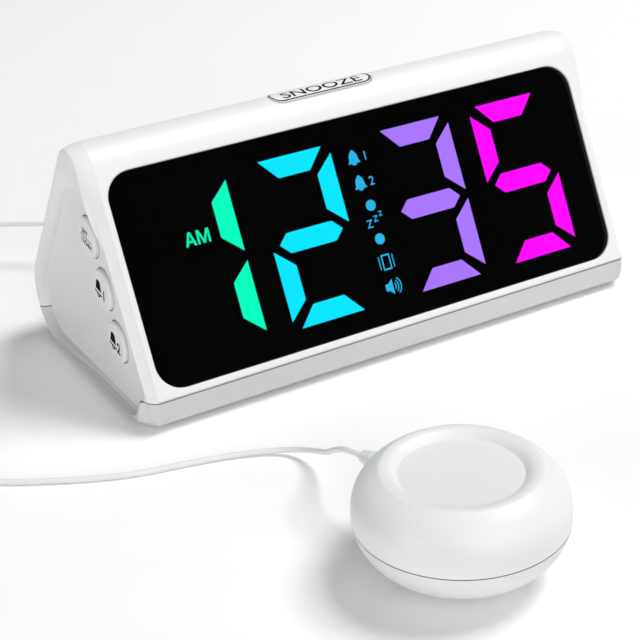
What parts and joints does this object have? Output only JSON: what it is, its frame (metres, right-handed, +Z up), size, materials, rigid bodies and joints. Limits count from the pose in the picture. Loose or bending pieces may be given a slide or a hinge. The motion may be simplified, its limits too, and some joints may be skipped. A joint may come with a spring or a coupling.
{
  "type": "bed shaker alarm clock",
  "caption": "White wedge-shaped digital alarm clock with a tinted sloping display, round end keys, a snooze bar on its ridge and a corded round bed shaker puck.",
  "frame": {"origin": "on the table, in the middle of the box round the clock and the puck", "axes": "+X along the clock to the right as its display is read, +Y to the clock's back, +Z up"},
  "size_m": [0.2374, 0.2784, 0.0771],
  "materials": {
    "housing_white": "fine satin moulded white",
    "base_grey_white": "fine satin moulded off-white",
    "end_panel": "satin moulded off-white",
    "key_white": "satin moulded off-white with printed legends",
    "snooze_white": "satin moulded white with a printed word",
    "board_green": "solder-masked circuit board",
    "board_white": "white solder-masked circuit board",
    "switch_black": "black moulded",
    "screw_steel": "zinc plated",
    "window_tint": "polished dark tint",
    "mask_black": "printed matt black",
    "reflector_white": "moulded matt white",
    "light_green": "lit diffuser",
    "light_cyan": "lit diffuser",
    "light_violet": "lit diffuser",
    "light_magenta": "lit diffuser",
    "segment_unlit": "unlit smoked diffuser",
    "symbol_film": "printed black film",
    "chip_white": "lamp package",
    "chip_black": "moulded package",
    "capacitor_can": "sleeved can",
    "socket_steel": "drawn shell",
    "speaker_steel": "black coated",
    "cone_paper": "pressed paper",
    "magnet_dark": "ground ferrite",
    "cell_steel": "plated can",
    "contact_brass": "plated spring strip",
    "foot_rubber": "matt rubber",
    "puck_white": "satin moulded white",
    "puck_lower_white": "satin moulded white",
    "motor_steel": "drawn can",
    "weight_steel": "sintered steel",
    "cord_white": "smooth flexible jacket",
    "plug_white": "moulded grip with a plated pin"
  },
  "bodies": {
    "clock": {"upper_housing": "housing_white", "base_tray": "base_grey_white", "left_end_panel": "end_panel", "right_end_panel": "end_panel", "left_switch_board": "board_green", "right_switch_board": "board_green", "snooze_board": "board_green", "main_board": "board_green", "display_board": "board_white", "left_key_switches": "switch_black", "right_key_switches": "switch_black", "snooze_key_switch": "switch_black", "switch_board_screws": "screw_steel", "snooze_board_screws": "screw_steel", "display_screws": "screw_steel", "main_board_screws": "screw_steel", "case_screws": "screw_steel", "battery_door_screw": "screw_steel", "puck_screws": "screw_steel", "motor_clamp_screws": "screw_steel", "front_window": "window_tint", "display_mask": "mask_black", "reflector": "reflector_white", "hour_tens_digit": "light_green", "hour_units_digit": "light_cyan", "minute_tens_digit": "light_violet", "minute_units_digit": "light_magenta", "unlit_segments": "segment_unlit", "symbol_strip": "symbol_film", "morning_marker": "symbol_film", "light_chips": "chip_white", "control_chip": "chip_black", "capacitors": "capacitor_can", "shaker_socket": "switch_black", "power_socket": "socket_steel", "speaker_frame": "speaker_steel", "speaker_cone": "cone_paper", "speaker_magnet": "magnet_dark", "coin_cell": "cell_steel", "cell_contacts": "contact_brass", "battery_door": "base_grey_white", "rubber_feet": "foot_rubber", "puck_upper_shell": "puck_white", "puck_lower_shell": "puck_lower_white", "puck_foot": "foot_rubber", "vibration_motor": "motor_steel", "motor_clamp": "screw_steel", "puck_cord_boot": "cord_white", "shaker_plug": "plug_white", "cord_at_clock": "cord_white", "cord_coil": "cord_white", "cord_at_puck": "cord_white"},
    "snooze": {"snooze_button": "snooze_white"},
    "set_key": {"set_button": "key_white"},
    "alarm_one_key": {"alarm_one_button": "key_white"},
    "alarm_two_key": {"alarm_two_button": "key_white"},
    "up_key": {"up_button": "key_white"},
    "down_key": {"down_button": "key_white"},
    "light_key": {"light_button": "key_white"},
    "shaker_weight": {"eccentric_weight": "weight_steel"}
  },
  "joints": [
    {"name": "snooze_press", "type": "slide", "parent": "clock", "child": "snooze", "axis": [0, 0, -1], "range_m": [0, 0.0008], "stiffness_N_per_m": 500, "springref_m": -0.001},
    {"name": "set_press", "type": "slide", "parent": "clock", "child": "set_key", "axis": [1, 0, 0], "range_m": [0, 0.0008], "stiffness_N_per_m": 500, "springref_m": -0.001},
    {"name": "alarm_one_press", "type": "slide", "parent": "clock", "child": "alarm_one_key", "axis": [1, 0, 0], "range_m": [0, 0.0008], "stiffness_N_per_m": 500, "springref_m": -0.001},
    {"name": "alarm_two_press", "type": "slide", "parent": "clock", "child": "alarm_two_key", "axis": [1, 0, 0], "range_m": [0, 0.0008], "stiffness_N_per_m": 500, "springref_m": -0.001},
    {"name": "up_press", "type": "slide", "parent": "clock", "child": "up_key", "axis": [-1, 0, 0], "range_m": [0, 0.0008], "stiffness_N_per_m": 500, "springref_m": -0.001},
    {"name": "down_press", "type": "slide", "parent": "clock", "child": "down_key", "axis": [-1, 0, 0], "range_m": [0, 0.0008], "stiffness_N_per_m": 500, "springref_m": -0.001},
    {"name": "light_press", "type": "slide", "parent": "clock", "child": "light_key", "axis": [-1, 0, 0], "range_m": [0, 0.0008], "stiffness_N_per_m": 500, "springref_m": -0.001},
    {"name": "weight_spin", "type": "hinge", "parent": "clock", "child": "shaker_weight", "pos_m": [-0.0479, -0.0781, 0.015], "axis": [1, 0, 0], "continuous": true}
  ]
}
